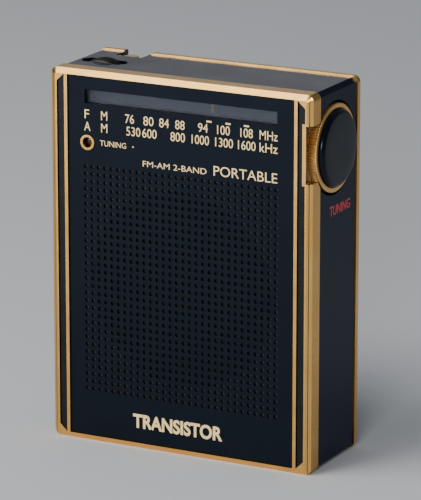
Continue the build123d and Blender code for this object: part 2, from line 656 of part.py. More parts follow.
with BuildPart() as speaker_cone:
    with BuildSketch(Plane.YZ):
        with BuildLine():
            rim_z = GRILLE_Z + SPEAKER_R - 2.4
            Polyline(
                (SPEAKER_Y + 0.1, rim_z),
                (SPEAKER_Y + 0.1, rim_z - 3.0),
                (SPEAKER_BACK_Y - BASKET_THICK - 1.4, GRILLE_Z + 5.6),
                (SPEAKER_BACK_Y - BASKET_THICK - 0.8, GRILLE_Z + 5.6),
                (SPEAKER_Y + 0.6, rim_z - 2.6),
                (SPEAKER_Y + 0.6, rim_z),
                close=True,
            )
        make_face()
    revolve(axis=Axis((0, 0, GRILLE_Z), (0, 1, 0)), revolution_arc=360)
finish("speaker_cone", speaker_cone.part, BLACK)

with BuildPart() as speaker_coil:
    with BuildSketch(front_plane(SPEAKER_BACK_Y - 0.6)):
        with Locations((0, GRILLE_Z)):
            Circle(5.0)
            Circle(4.4, mode=Mode.SUBTRACT)
    extrude(amount=2.6)
    with BuildSketch(front_plane(SPEAKER_BACK_Y - 2.8)):
        with Locations((0, GRILLE_Z)):
            Circle(5.5)
    extrude(amount=0.4)
finish("speaker_coil", speaker_coil.part, BRASS)

# ---- case body: open front and back, knob pocket, thumbwheel slot, mast notch -------------
TONGUE_LENGTH = 2.0
TONGUE_HALF_W = WIDTH / 2 - BEZEL_WALL - FIT_GAP
NOTCH_LEFT_X = MAST_X - 3.1
NOTCH_RIGHT_X = MAST_X + 2.1
SCOOP_RIGHT_X = MAST_X + 4.2
SCOOP_LOW_Z = HEIGHT - 1.4
NOTCH_FLOOR_Z = HEIGHT - 4.2
NOTCH_FRONT_Y = MAST_Y - TIP_R - 0.3
SCOOP_WALL = 0.8
MAST_BORE_R = MAST_R + MAST_GAP


def notch_outline():
    """Front view of the finger notch round the mast tip: upright left wall, sloped right wall."""
    return [
        (NOTCH_LEFT_X, NOTCH_FLOOR_Z),
        (NOTCH_RIGHT_X, NOTCH_FLOOR_Z),
        (NOTCH_RIGHT_X, SCOOP_LOW_Z),
        (SCOOP_RIGHT_X, HEIGHT),
        (SCOOP_RIGHT_X, HEIGHT + 1),
        (NOTCH_LEFT_X, HEIGHT + 1),
    ]


with BuildPart() as body_shell:
    with BuildSketch(front_plane(CASE_BACK_Y)):
        with Locations((0, CASE_MID_Z)):
            Rectangle(2 * CASE_HALF_W, CASE_HIGH_Z - CASE_LOW_Z)
    extrude(amount=CASE_BACK_Y - CASE_FRONT_Y)
    chamfer(body_shell.edges().filter_by(Axis.Y), length=CASE_BEVEL)
    with BuildSketch(front_plane(CASE_FRONT_Y)):
        with Locations((0, HEIGHT / 2)):
            RectangleRounded(2 * TONGUE_HALF_W, HEIGHT - 2 * BEZEL_WALL - 2 * FIT_GAP, 0.8)
    extrude(amount=TONGUE_LENGTH)
    with BuildSketch(front_plane(CASE_BACK_Y)):
        with Locations((0, CASE_INNER_MID_Z)):
            RectangleRounded(2 * CASE_INNER_X, CASE_INNER_HIGH_Z - CASE_INNER_LOW_Z, 1.0)
    extrude(amount=CASE_BACK_Y - CASE_FRONT_Y + TONGUE_LENGTH, mode=Mode.SUBTRACT)
    # pocket for the knob, with a bearing hole for its hub
    with BuildSketch(side_plane(KNOB_WALL_IN_X)):
        with Locations((KNOB_Y, KNOB_Z)):
            Circle(KNOB_RECESS_R + KNOB_WALL_THICK)
        with Locations(((CASE_FRONT_Y - TONGUE_LENGTH + CASE_BACK_Y) / 2, KNOB_Z)):
            Rectangle(CASE_BACK_Y - CASE_FRONT_Y + TONGUE_LENGTH, DEPTH, mode=Mode.INTERSECT)
    extrude(amount=CASE_HALF_W - KNOB_WALL_IN_X - CASE_BEVEL)
    with BuildSketch(side_plane(KNOB_WALL_OUT_X)):
        with Locations((KNOB_Y, KNOB_Z)):
            Circle(KNOB_RECESS_R)
    extrude(amount=DEPTH, mode=Mode.SUBTRACT)
    with BuildSketch(side_plane(KNOB_WALL_IN_X - 1)):
        with Locations((KNOB_Y, KNOB_Z)):
            Circle(HUB_BORE_R)
    extrude(amount=DEPTH, mode=Mode.SUBTRACT)
    with BuildSketch(front_plane(CASE_FRONT_Y)):
        with Locations(((NOTCH_LIP_X - FIT_GAP + WIDTH) / 2, NOTCH_Z)):
            Rectangle(WIDTH - NOTCH_LIP_X + FIT_GAP, 2 * (NOTCH_HALF + NOTCH_LIP))
    extrude(amount=DEPTH, mode=Mode.SUBTRACT)
    # slot for the volume thumbwheel
    with BuildSketch(Plane.XY.offset(CASE_INNER_HIGH_Z - 1)):
        with BuildLine():
            half, flank = WHEEL_SLOT / 2, WHEEL_THICK / 2 + BODY_GAP
            slot = [(-half, 0.4), (-half + 1.2, flank), (half - 1.2, flank), (half, 0.4)]
            slot += [(x, -y) for x, y in reversed(slot)]
            Polyline(*[(WHEEL_X + x, WHEEL_Y + y) for x, y in slot], close=True)
        make_face()
    extrude(amount=CASE_WALL + 2, mode=Mode.SUBTRACT)
    with BuildSketch(front_plane(WHEEL_BACK_Y + BODY_GAP)):
        with Locations((WHEEL_X, WHEEL_Z)):
            Circle(WHEEL_R + BODY_GAP)
    extrude(amount=WHEEL_THICK + 2 * BODY_GAP, mode=Mode.SUBTRACT)
    # block round the mast notch, then the notch and the mast's bore
    with BuildSketch(front_plane(CASE_BACK_Y)):
        with Locations(((NOTCH_LEFT_X + SCOOP_RIGHT_X) / 2, (NOTCH_FLOOR_Z - SCOOP_WALL + CASE_HIGH_Z - 1) / 2)):
            Rectangle(SCOOP_RIGHT_X - NOTCH_LEFT_X + 2 * SCOOP_WALL, CASE_HIGH_Z - 1 - NOTCH_FLOOR_Z + SCOOP_WALL)
    extrude(amount=CASE_BACK_Y - NOTCH_FRONT_Y + SCOOP_WALL)
    with BuildSketch(front_plane(CASE_BACK_Y)):
        with BuildLine():
            Polyline(*notch_outline(), close=True)
        make_face()
    extrude(amount=CASE_BACK_Y - NOTCH_FRONT_Y, mode=Mode.SUBTRACT)
    with BuildSketch(Plane.XY.offset(NOTCH_FLOOR_Z - 3)):
        with Locations((MAST_X, MAST_Y)):
            Circle(MAST_BORE_R)
    extrude(amount=5, mode=Mode.SUBTRACT)
    # earphone hole and band slot in the left side
    with BuildSketch(side_plane(-CASE_HALF_W - 1)):
        with Locations((0, JACK_Z)):
            Circle(JACK_R + 1.2)
        with Locations((0, BAND_Z)):
            Rectangle(2.6, 8.0)
    extrude(amount=CASE_WALL + 2, mode=Mode.SUBTRACT)
finish("body_shell", body_shell.part, BLACK)

# ---- gold rear frame, back cover, battery door -------------------------------------------
COVER_HALF_W = WIDTH / 2 - REAR_BAND_WALL - FIT_GAP
COVER_LOW_Z = REAR_BAND_WALL + FIT_GAP
COVER_HIGH_Z = HEIGHT - REAR_BAND_WALL - FIT_GAP
COVER_THICK = REAR_BAND
REAR_EDGE_R = 0.5
SCREW_HEAD_R = 1.6
SCREW_HEAD = 0.6
DOOR_HALF_W = 25.0
DOOR_LOW_Z = 3.0
DOOR_HIGH_Z = 24.4
DOOR_GAP = 0.25
HINGE_R = 0.5
HINGE_Y = BACK_Y - COVER_THICK / 2 - 0.3
HINGE_Z = DOOR_LOW_Z + 1.6
HINGE_LENGTH = 1.4

with BuildPart() as rear_frame:
    with BuildSketch(front_plane(BACK_Y)):
        with Locations((0, HEIGHT / 2)):
            RectangleRounded(WIDTH, HEIGHT, BEZEL_CORNER)
    extrude(amount=REAR_BAND)
    fillet(rear_frame.faces().sort_by(Axis.Y)[-1].edges(), radius=REAR_EDGE_R)
    with BuildSketch(front_plane(BACK_Y)):
        with Locations((0, HEIGHT / 2)):
            Rectangle(WIDTH - 2 * REAR_BAND_WALL, HEIGHT - 2 * REAR_BAND_WALL)
        with BuildLine():
            Polyline(*notch_outline(), close=True)
        make_face()
    extrude(amount=REAR_BAND, mode=Mode.SUBTRACT)
finish("rear_frame", rear_frame.part, GOLD)

with BuildPart() as back_cover:
    with BuildSketch(front_plane(BACK_Y)):
        with Locations((0, HEIGHT / 2)):
            Rectangle(2 * COVER_HALF_W, COVER_HIGH_Z - COVER_LOW_Z)
        with BuildLine():
            Polyline(*notch_outline(), close=True)
        make_face(mode=Mode.SUBTRACT)
        with Locations((0, (DOOR_LOW_Z + DOOR_HIGH_Z) / 2)):
            Rectangle(2 * DOOR_HALF_W, DOOR_HIGH_Z - DOOR_LOW_Z, mode=Mode.SUBTRACT)
    extrude(amount=COVER_THICK)
    # ears with the door's hinge bores
    for side in (-1, 1):
        with BuildSketch(side_plane(side * (DOOR_HALF_W + HINGE_LENGTH / 2 + 0.5) - HINGE_LENGTH / 2 - 0.5)):
            with Locations((HINGE_Y, HINGE_Z)):
                Circle(HINGE_R + 0.4)
        extrude(amount=HINGE_LENGTH + 1)
        with BuildSketch(side_plane(side * (DOOR_HALF_W + HINGE_LENGTH / 2) - HINGE_LENGTH / 2)):
            with Locations((HINGE_Y, HINGE_Z)):
                Circle(HINGE_R + RUN_GAP)
        extrude(amount=HINGE_LENGTH, mode=Mode.SUBTRACT)
    # upright slots of the cover over the loudspeaker's back
    with BuildSketch(front_plane(BACK_Y)):
        with Locations((4, 52)):
            with GridLocations(4.0, 1.0, 9, 1):
                SlotOverall(16.0, 1.4, rotation=90, mode=Mode.ADD)
    extrude(amount=COVER_THICK, mode=Mode.SUBTRACT)
    # screw holes
    with BuildSketch(front_plane(BACK_Y)):
        with Locations(*BOSS_PLACES):
            Circle(SCREW_R + 0.25)
    extrude(amount=COVER_THICK, mode=Mode.SUBTRACT)
    with BuildSketch(front_plane(BACK_Y)):
        with Locations(*BOSS_PLACES):
            Circle(SCREW_HEAD_R + 0.2)
    extrude(amount=SCREW_HEAD, mode=Mode.SUBTRACT)
finish("back_cover", back_cover.part, BLACK)

with BuildPart() as case_screws:
    with BuildSketch(front_plane(BACK_Y)):
        with Locations(*BOSS_PLACES):
            Circle(SCREW_HEAD_R)
    extrude(amount=SCREW_HEAD)
    with BuildSketch(front_plane(BACK_Y - SCREW_HEAD)):
        with Locations(*BOSS_PLACES):
            Circle(SCREW_R - 0.02)
    extrude(amount=6.5)
    with BuildSketch(front_plane(BACK_Y)):
        with Locations(*BOSS_PLACES):
            Rectangle(2.2, 0.4)
            Rectangle(0.4, 2.2)
    extrude(amount=0.35, mode=Mode.SUBTRACT)
finish("case_screws", case_screws.part, STEEL)

with BuildPart() as battery_door:
    door_low = HINGE_Z - HINGE_R - 0.1
    with BuildSketch(front_plane(BACK_Y)):
        with Locations((0, (door_low + DOOR_HIGH_Z - DOOR_GAP) / 2)):
            Rectangle(2 * (DOOR_HALF_W - DOOR_GAP), DOOR_HIGH_Z - DOOR_GAP - door_low)
    extrude(amount=COVER_THICK)
    with BuildSketch(side_plane(-DOOR_HALF_W + DOOR_GAP)):
        with Locations((HINGE_Y, HINGE_Z)):
            Circle(HINGE_R + 0.1)
    extrude(amount=2 * (DOOR_HALF_W - DOOR_GAP))
    with BuildSketch(side_plane(-DOOR_HALF_W - HINGE_LENGTH + 0.1)):
        with Locations((HINGE_Y, HINGE_Z)):
            Circle(HINGE_R)
    extrude(amount=2 * (DOOR_HALF_W + HINGE_LENGTH - 0.1))
    # thumb grooves
    with BuildSketch(front_plane(BACK_Y)):
        with Locations((0, DOOR_HIGH_Z - 4.5)):
            with GridLocations(1.0, 1.4, 1, 4):
                Rectangle(12.0, 0.6)
    extrude(amount=0.4, mode=Mode.SUBTRACT)
finish("battery_door", battery_door.part, BLACK)

# ---- battery tray, cells and contacts --------------------------------------------------------
TRAY_WALL = 1.0
TRAY_GAP = 0.25
SPRING_ROOM = 3.2
PLATE_THICK = 0.3
CELL_NUB = 0.9
TRAY_HALF_X = (CELL_LENGTH + CELL_NUB + SPRING_ROOM + PLATE_THICK) / 2 + 0.2
TRAY_FRONT_Y = CELL_Y - CELL_R - TRAY_GAP - TRAY_WALL
TRAY_BACK_Y = CASE_BACK_Y - 0.2
TRAY_LOW_Z = CELL_LOW_Z - CELL_R - TRAY_GAP
TRAY_HIGH_Z = CELL_HIGH_Z + CELL_R + TRAY_GAP
with BuildPart() as battery_tray:
    with BuildSketch(front_plane(TRAY_BACK_Y)):
        with Locations((0, (TRAY_LOW_Z + TRAY_HIGH_Z) / 2)):
            Rectangle(2 * (TRAY_HALF_X + TRAY_WALL), TRAY_HIGH_Z - TRAY_LOW_Z + 2 * TRAY_WALL - 1)
    extrude(amount=TRAY_BACK_Y - TRAY_FRONT_Y)
    with BuildSketch(front_plane(TRAY_BACK_Y)):
        with Locations((0, (TRAY_LOW_Z + TRAY_HIGH_Z) / 2)):
            Rectangle(2 * TRAY_HALF_X, TRAY_HIGH_Z - TRAY_LOW_Z)
    extrude(amount=TRAY_BACK_Y - TRAY_FRONT_Y - TRAY_WALL, mode=Mode.SUBTRACT)
    # clearance for the door's hinge line
    with BuildSketch(side_plane(-WIDTH / 2)):
        with Locations((HINGE_Y, HINGE_Z)):
            Circle(2.2)
    extrude(amount=WIDTH, mode=Mode.SUBTRACT)
finish("battery_tray", battery_tray.part, BLACK)

PLUS_PLATE_X = TRAY_HALF_X - PLATE_THICK
for name, z, side in (("cell_lower", CELL_LOW_Z, 1), ("cell_upper", CELL_HIGH_Z, -1)):
    with BuildPart() as cell:
        plus_x = side * (PLUS_PLATE_X - FIT_GAP / 2)
        shoulder_x = plus_x - side * CELL_NUB
        end_x = shoulder_x - side * CELL_LENGTH
        with BuildSketch(side_plane(end_x)):
            with Locations((CELL_Y, z)):
                Circle(CELL_R)
        extrude(amount=side * CELL_LENGTH)
        fillet(cell.edges().filter_by(GeomType.CIRCLE), radius=0.4)
        with BuildSketch(side_plane(shoulder_x)):
            with Locations((CELL_Y, z)):
                Circle(1.9)
        extrude(amount=side * CELL_NUB)
    finish(name, cell.part, STEEL)

with BuildPart() as contact_plates:
    for side, z in ((1, CELL_LOW_Z), (-1, CELL_HIGH_Z)):
        with BuildSketch(side_plane(side * PLUS_PLATE_X)):
            with Locations((CELL_Y, z)):
                Rectangle(8.0, 8.4)
        extrude(amount=side * PLATE_THICK)
finish("contact_plates", contact_plates.part, STEEL)

SPRING_WIRE_R = 0.3
SPRING_TURNS = 3.5
SPRING_R = 3.0
SPRING_CONE = -18
SPRING_PLATE_X = PLATE_THICK - TRAY_HALF_X
with BuildPart() as contact_spring_lower:
    with BuildSketch(side_plane(SPRING_PLATE_X)):
        with Locations((CELL_Y, CELL_LOW_Z)):
            Rectangle(8.0, 8.4)
    extrude(amount=-PLATE_THICK)
    coil_length = SPRING_ROOM - 2 * SPRING_WIRE_R - 0.3
    with BuildLine():
        coil = Helix(
            pitch=coil_length / SPRING_TURNS,
            height=coil_length,
            radius=SPRING_R,
            center=(SPRING_PLATE_X, CELL_Y, CELL_LOW_Z),
            direction=(1, 0, 0),
            cone_angle=SPRING_CONE,
        )
    with BuildSketch(Plane(origin=coil @ 0, z_dir=coil % 0)):
        Circle(SPRING_WIRE_R)
    sweep(path=coil, is_frenet=True)
finish("contact_spring_lower", contact_spring_lower.part, STEEL)

# the upper spring is the same piece turned end for end
TRAY_TURN = Axis((0, CELL_Y, (CELL_LOW_Z + CELL_HIGH_Z) / 2), (0, 1, 0))
finish("contact_spring_upper", contact_spring_lower.part.rotate(TRAY_TURN, 180), STEEL)

# ---- circuit board and what it carries -----------------------------------------------------
BOARD_HALF_X = CASE_INNER_X - 0.9
BOARD_LOW_Z = TRAY_HIGH_Z + 1.6
BOARD_HIGH_Z = CASE_INNER_HIGH_Z - 0.6
BOARD_NOTCH_X = CAPACITOR_X - CAPACITOR_DEPTH - 0.8
BOARD_NOTCH_Z = KNOB_Z - KNOB_RECESS_R - KNOB_WALL_THICK - BODY_GAP
BOARD_SCREW_PLACES = [(-17.5, 70.0), (3.0, 69.4)]
with BuildPart() as circuit_board:
    with BuildSketch(front_plane(BOARD_BACK_Y)):
        with Locations((0, (BOARD_LOW_Z + BOARD_HIGH_Z) / 2)):
            Rectangle(2 * BOARD_HALF_X, BOARD_HIGH_Z - BOARD_LOW_Z)
        with Locations(((BOARD_NOTCH_X + WIDTH) / 2, (BOARD_NOTCH_Z + HEIGHT) / 2)):
            Rectangle(WIDTH - BOARD_NOTCH_X, HEIGHT - BOARD_NOTCH_Z, mode=Mode.SUBTRACT)
        with Locations(*BOSS_PLACES[2:]):
            Circle(BOSS_R + BODY_GAP, mode=Mode.SUBTRACT)
        with Locations((LED_X - LEAD_OFFSET, LED_Z), (LED_X + LEAD_OFFSET, LED_Z)):
            Circle(0.4, mode=Mode.SUBTRACT)
        with Locations(*BOARD_SCREW_PLACES):
            Circle(SCREW_R + 0.2, mode=Mode.SUBTRACT)
    extrude(amount=BOARD_THICK)
finish("circuit_board", circuit_board.part, GREEN)

with BuildPart() as board_posts:
    with BuildSketch(front_plane(BOARD_Y)):
        with Locations(*BOARD_SCREW_PLACES):
            Circle(1.8)
            Circle(SCREW_R, mode=Mode.SUBTRACT)
    extrude(amount=BOARD_Y - INNER_BACK_Y)
finish("board_posts", board_posts.part, BRASS)

with BuildPart() as board_screws:
    with BuildSketch(front_plane(BOARD_BACK_Y + 0.8)):
        with Locations(*BOARD_SCREW_PLACES):
            Circle(1.5)
    extrude(amount=0.8)
    with BuildSketch(front_plane(BOARD_BACK_Y)):
        with Locations(*BOARD_SCREW_PLACES):
            Circle(SCREW_R - 0.02)
    extrude(amount=4)
finish("board_screws", board_screws.part, STEEL)

IF_CAN_SIDE = 5.6
IF_CAN_PLACES = [(-11.4, 75.4), (-5.0, 75.4), (1.4, 75.4), (7.6, 75.4)]
with BuildPart() as tuning_cans:
    with BuildSketch(front_plane(BOARD_Y)):
        with Locations(*IF_CAN_PLACES):
            RectangleRounded(IF_CAN_SIDE, IF_CAN_SIDE, 0.5)
    extrude(amount=6.4)
    with BuildSketch(front_plane(BOARD_Y - 6.4)):
        with Locations(*IF_CAN_PLACES):
            Circle(1.7)
    extrude(amount=-1.0, mode=Mode.SUBTRACT)
finish("tuning_cans", tuning_cans.part, STEEL)

CAP_PLACES = [(-20.0, 66.4), (19.0, 56.0), (25.0, 49.0), (25.6, 40.0), (-23.6, 30.0)]
with BuildPart() as electrolytics:
    with BuildSketch(front_plane(BOARD_Y)):
        with Locations(*CAP_PLACES):
            Circle(2.4)
    extrude(amount=6.8)
    chamfer(electrolytics.faces().sort_by(Axis.Y)[:len(CAP_PLACES)].edges(), length=0.4)
finish("electrolytics", electrolytics.part, BLACK)

with BuildPart() as amplifier_chip:
    with BuildSketch(front_plane(BOARD_Y - 0.6)):
        with Locations((20.0, 32.0)):
            Rectangle(10.0, 6.4)
    extrude(amount=2.6)
    with BuildSketch(front_plane(BOARD_Y)):
        with Locations((20.0, 32.0)):
            with GridLocations(2.2, 7.6, 4, 2):
                Rectangle(0.5, 0.8)
    extrude(amount=1.2)
    with BuildSketch(front_plane(BOARD_Y - 0.8)):
        with Locations((20.0, 32.0)):
            with GridLocations(2.2, 6.8, 4, 2):
                Rectangle(0.5, 1.6)
    extrude(amount=0.4)
finish("amplifier_chip", amplifier_chip.part, BLACK)

with BuildPart() as capacitor_bracket:
    bracket_x = CAPACITOR_X - CAPACITOR_DEPTH
    with BuildSketch(side_plane(bracket_x - 0.6)):
        with Locations((KNOB_Y, KNOB_Z)):
            Rectangle(CAPACITOR_SIDE - 2, CAPACITOR_SIDE)
        with Locations(((KNOB_Y + BOARD_Y) / 2, KNOB_Z)):
            Rectangle(BOARD_Y - KNOB_Y, CAPACITOR_SIDE - 3)
    extrude(amount=0.6)
    with BuildSketch(front_plane(BOARD_Y)):
        with Locations((bracket_x - 2.4, KNOB_Z)):
            Rectangle(4.8, CAPACITOR_SIDE - 3)
    extrude(amount=0.6)
finish("capacitor_bracket", capacitor_bracket.part, STEEL)

# ---- ferrite bar with its coil and clips -----------------------------------------------------
FERRITE_Z = 77.5
FERRITE_Y = BOARD_BACK_Y + 2.75
FERRITE_LOW_X = MAST_X + MAST_R + 4.6
FERRITE_LENGTH = 30.0
with BuildPart() as ferrite_bar:
    with BuildSketch(side_plane(FERRITE_LOW_X)):
        with Locations((FERRITE_Y, FERRITE_Z)):
            RectangleRounded(4.0, 9.0, 0.8)
    extrude(amount=FERRITE_LENGTH)
finish("ferrite_bar", ferrite_bar.part, BLACK)

with BuildPart() as ferrite_coil:
    with BuildSketch(side_plane(FERRITE_LOW_X + 11)):
        with Locations((FERRITE_Y, FERRITE_Z)):
            RectangleRounded(5.2, 10.2, 1.2)
            RectangleRounded(4.0, 9.0, 0.8, mode=Mode.SUBTRACT)
    extrude(amount=12)
finish("ferrite_coil", ferrite_coil.part, BRASS)

with BuildPart() as ferrite_clips:
    for offset in (2.0, FERRITE_LENGTH - 4.0):
        with BuildSketch(side_plane(FERRITE_LOW_X + offset)):
            with Locations(((BOARD_BACK_Y + FERRITE_Y + 2.6) / 2, FERRITE_Z)):
                Rectangle(FERRITE_Y + 2.6 - BOARD_BACK_Y, 11.0)
            with Locations((FERRITE_Y, FERRITE_Z)):
                RectangleRounded(4.0, 9.0, 0.8, mode=Mode.SUBTRACT)
        extrude(amount=2.0)
finish("ferrite_clips", ferrite_clips.part, BLACK)

# ---- band switch and earphone socket on the left side -----------------------------------------
SWITCH_DEPTH = 5.0
SLIDER_GAP = BODY_GAP
SWITCH_HALF_Z = 6.0
with BuildPart() as band_switch:
    with BuildSketch(side_plane(-CASE_INNER_X + FIT_GAP)):
        with Locations(((BOARD_Y - 4.0) / 2, BAND_Z)):
            Rectangle(BOARD_Y + 4.0, 2 * SWITCH_HALF_Z)
    extrude(amount=SWITCH_DEPTH)
    with BuildSketch(side_plane(-CASE_INNER_X + FIT_GAP)):
        with Locations((0, BAND_Z)):
            Rectangle(2.6, 8.0)
    extrude(amount=2.4, mode=Mode.SUBTRACT)
finish("band_switch", band_switch.part, STEEL)

SLIDER_LENGTH = 8.0 - BAND_TRAVEL - 2 * SLIDER_GAP
SLIDER_Z = BAND_Z - BAND_TRAVEL / 2
with BuildPart() as band_slider:
    with BuildSketch(side_plane(-CASE_INNER_X + FIT_GAP + 2.1)):
        with Locations((0, SLIDER_Z)):
            Rectangle(2.6 - 2 * SLIDER_GAP, SLIDER_LENGTH)
    extrude(amount=-(CASE_WALL + FIT_GAP + 2.1 + 0.7))
    with BuildSketch(side_plane(-CASE_HALF_W - 0.7)):
        with Locations((0, SLIDER_Z)):
            with GridLocations(1.0, 1.0, 1, 3):
                Rectangle(3.0, 0.4)
    extrude(amount=0.35, mode=Mode.SUBTRACT)
finish("band_slider", band_slider.part, BLACK)

SOCKET_SIDE = 7.6
with BuildPart() as earphone_socket:
    with BuildSketch(side_plane(-CASE_INNER_X)):
        with Locations((0, JACK_Z)):
            Rectangle(SOCKET_SIDE, SOCKET_SIDE)
    extrude(amount=JACK_DEPTH)
    with BuildSketch(side_plane(-CASE_HALF_W)):
        with Locations((0, JACK_Z)):
            Circle(JACK_R + 1.1)
    extrude(amount=CASE_WALL)
    with BuildSketch(side_plane(-CASE_HALF_W)):
        with Locations((0, JACK_Z)):
            Circle(JACK_R)
    extrude(amount=JACK_DEPTH + CASE_WALL - 1, mode=Mode.SUBTRACT)
finish("earphone_socket", earphone_socket.part, STEEL)

# ---- rod antenna: outer tube, clamp, two tubes and the tip rod -----------------------------------
MAST_LOW_Z = NOTCH_FLOOR_Z - 1.0 - 57.0
MAST_TOP_Z = NOTCH_FLOOR_Z
STEP_UP = 0.35
mast_radii = [MAST_R - i * (MAST_WALL + MAST_GAP) for i in range(4)]
with BuildPart() as mast_outer_tube:
    with BuildSketch(Plane.XY.offset(MAST_LOW_Z)):
        with Locations((MAST_X, MAST_Y)):
            Circle(mast_radii[0])
            Circle(mast_radii[0] - MAST_WALL, mode=Mode.SUBTRACT)
    extrude(amount=MAST_TOP_Z - MAST_LOW_Z)
finish("mast_outer_tube", mast_outer_tube.part, STEEL)

for step, name in ((1, "mast_section_lower"), (2, "mast_section_middle")):
    with BuildPart() as section:
        with BuildSketch(Plane.XY.offset(MAST_TOP_Z + step * STEP_UP - MAST_SECTION)):
            with Locations((MAST_X, MAST_Y)):
                Circle(mast_radii[step])
                Circle(mast_radii[step] - MAST_WALL, mode=Mode.SUBTRACT)
        extrude(amount=MAST_SECTION)
    finish(name, section.part, STEEL)

TIP_LOW_Z = MAST_TOP_Z + 3 * STEP_UP
TIP_HIGH_Z = CASE_HIGH_Z - 0.3
with BuildPart() as mast_tip_rod:
    with BuildSketch(Plane.XY.offset(TIP_LOW_Z - MAST_SECTION)):
        with Locations((MAST_X, MAST_Y)):
            Circle(mast_radii[3])
    extrude(amount=MAST_SECTION)
    with BuildSketch(Plane.XY.offset(TIP_LOW_Z)):
        with Locations((MAST_X, MAST_Y)):
            Circle(TIP_R)
    extrude(amount=TIP_HIGH_Z - TIP_LOW_Z)
    fillet(mast_tip_rod.faces().sort_by(Axis.Z)[-1].edges(), radius=0.3)
finish("mast_tip_rod", mast_tip_rod.part, GOLD)

CLAMP_Z = 34.0
with BuildPart() as mast_clamps:
    for z in (CLAMP_Z, CLAMP_Z + 30):
        with BuildSketch(Plane.XY.offset(z)):
            with Locations((MAST_X, (BOARD_BACK_Y + MAST_Y + MAST_R + 0.3) / 2)):
                Rectangle(2 * MAST_R + 2.4, MAST_Y + MAST_R + 0.3 - BOARD_BACK_Y)
            with Locations((MAST_X, MAST_Y)):
                Circle(MAST_R, mode=Mode.SUBTRACT)
        extrude(amount=3)
finish("mast_clamps", mast_clamps.part, STEEL)
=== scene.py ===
import math

import bpy
import mathutils
import numpy as np
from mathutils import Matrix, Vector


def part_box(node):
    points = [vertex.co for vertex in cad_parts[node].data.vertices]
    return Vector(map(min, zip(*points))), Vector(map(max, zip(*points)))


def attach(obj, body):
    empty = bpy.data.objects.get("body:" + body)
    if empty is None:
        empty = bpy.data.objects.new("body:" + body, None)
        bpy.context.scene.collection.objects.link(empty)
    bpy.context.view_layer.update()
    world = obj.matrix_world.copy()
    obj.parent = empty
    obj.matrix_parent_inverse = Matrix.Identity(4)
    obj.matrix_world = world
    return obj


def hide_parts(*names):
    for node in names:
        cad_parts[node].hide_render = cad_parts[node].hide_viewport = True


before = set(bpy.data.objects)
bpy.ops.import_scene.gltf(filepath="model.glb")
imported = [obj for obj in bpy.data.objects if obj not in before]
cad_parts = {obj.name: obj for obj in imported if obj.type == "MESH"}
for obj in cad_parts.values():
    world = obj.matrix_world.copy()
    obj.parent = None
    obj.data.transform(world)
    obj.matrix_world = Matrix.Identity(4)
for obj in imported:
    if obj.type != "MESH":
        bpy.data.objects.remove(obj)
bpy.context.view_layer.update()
MM = 0.001


# ---- Front bezel and rear frame --------------------------------------------------------------
# Two ABS mouldings, vacuum-plated in pale champagne gold and left satin. The front one has
# faceted edges, two upright ribs and a step beside the tuning knob; the rear one is a plain band.

def linear(hex_colour):
    """Linear RGBA of an sRGB hex colour: c/12.92 below 0.04045, else ((c + 0.055)/1.055)^2.4."""
    values = [int(hex_colour[i:i + 2], 16) / 255 for i in (0, 2, 4)]
    return tuple(c / 12.92 if c <= 0.04045 else ((c + 0.055) / 1.055) ** 2.4 for c in values) + (1.0,)


def add(tree, kind, inputs=None, **settings):
    """Adds one node, sets its properties, and sets or links its inputs by name or number."""
    node = tree.nodes.new(kind)
    for key, value in settings.items():
        setattr(node, key, value)
    for key, value in (inputs or {}).items():
        if isinstance(value, bpy.types.NodeSocket):
            tree.links.new(value, node.inputs[key])
        else:
            node.inputs[key].default_value = value
    return node


def new_material(name, **sockets):
    """A material with a Principled surface, its sockets set by name, and its object coordinates."""
    material = bpy.data.materials.new(name)
    material.use_nodes = True
    tree = material.node_tree
    surface = tree.nodes["Principled BSDF"]
    for key, value in sockets.items():
        surface.inputs[key.replace("_", " ")].default_value = value
    place = add(tree, "ShaderNodeTexCoord").outputs["Object"]
    return material, tree, surface, place


def dress(material, *nodes):
    """Gives the named CAD nodes a finish, through their material slots."""
    for name in nodes:
        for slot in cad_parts[name].material_slots:
            slot.link = "DATA"
            slot.material = material


def mottled(tree, place, size_mm, dark, light, detail=3.0):
    """Colour that drifts between two shades in patches of the given size."""
    noise = add(tree, "ShaderNodeTexNoise", {"Vector": place, "Scale": 1 / (size_mm * MM), "Detail": detail})
    ramp = add(tree, "ShaderNodeMix", {"Factor": noise.outputs["Fac"], 6: linear(dark), 7: linear(light)},
               data_type="RGBA")
    return ramp.outputs[2]


def grain(tree, place, size_mm, height_mm, normal=None, detail=2.0):
    """Bump of fine grain with the given spacing and height."""
    noise = add(tree, "ShaderNodeTexNoise", {"Vector": place, "Scale": 1 / (size_mm * MM), "Detail": detail})
    inputs = {"Height": noise.outputs["Fac"], "Distance": height_mm * MM, "Strength": 1.0}
    if normal is not None:
        inputs["Normal"] = normal
    return add(tree, "ShaderNodeBump", inputs).outputs["Normal"]


def spread(tree, place, size_mm, low, high, detail=4.0):
    """Roughness that wanders between two values, as handled surfaces do."""
    noise = add(tree, "ShaderNodeTexNoise", {"Vector": place, "Scale": 1 / (size_mm * MM), "Detail": detail})
    fit = add(tree, "ShaderNodeMapRange", {"Value": noise.outputs["Fac"], "From Min": 0.3, "From Max": 0.7,
                                           "To Min": low, "To Max": high})
    return fit.outputs["Result"]


def soft_edge(tree, radius_mm):
    """Normal rounded over edges, as every moulded or plated edge is."""
    return add(tree, "ShaderNodeBevel", {"Radius": radius_mm * MM}, samples=6).outputs["Normal"]


